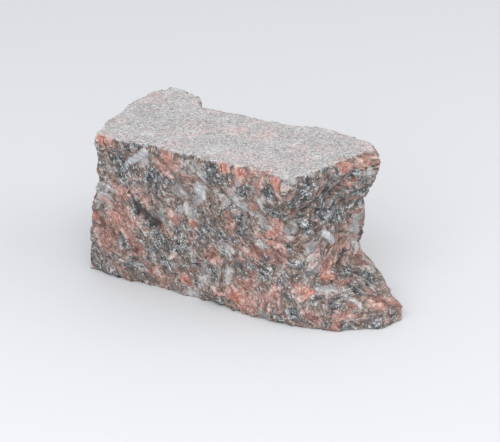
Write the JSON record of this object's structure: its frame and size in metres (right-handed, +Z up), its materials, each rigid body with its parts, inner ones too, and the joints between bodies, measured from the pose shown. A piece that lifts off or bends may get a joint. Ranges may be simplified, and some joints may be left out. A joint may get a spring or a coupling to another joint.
{
  "type": "rough granite block",
  "caption": "Hand-sized block of coarse pink granite: flat sawn top, rough broken sides, an overhanging rim above a hollow end, and a low foot.",
  "frame": {"origin": "middle of the underside of the part's box, on the surface that the block lies on", "axes": "+X along the long front face towards the low foot, +Y from the front face to the back, +Z up through the sawn top"},
  "size_m": [0.0912, 0.0432, 0.042],
  "materials": {
    "pink_granite": "coarse pink granite: salmon feldspar, grey quartz, white feldspar and dark mica, rough where it is broken and pale, flat and finely tooled on the sawn top"
  },
  "bodies": {
    "root": {"granite_block": "pink_granite"}
  },
  "joints": []
}
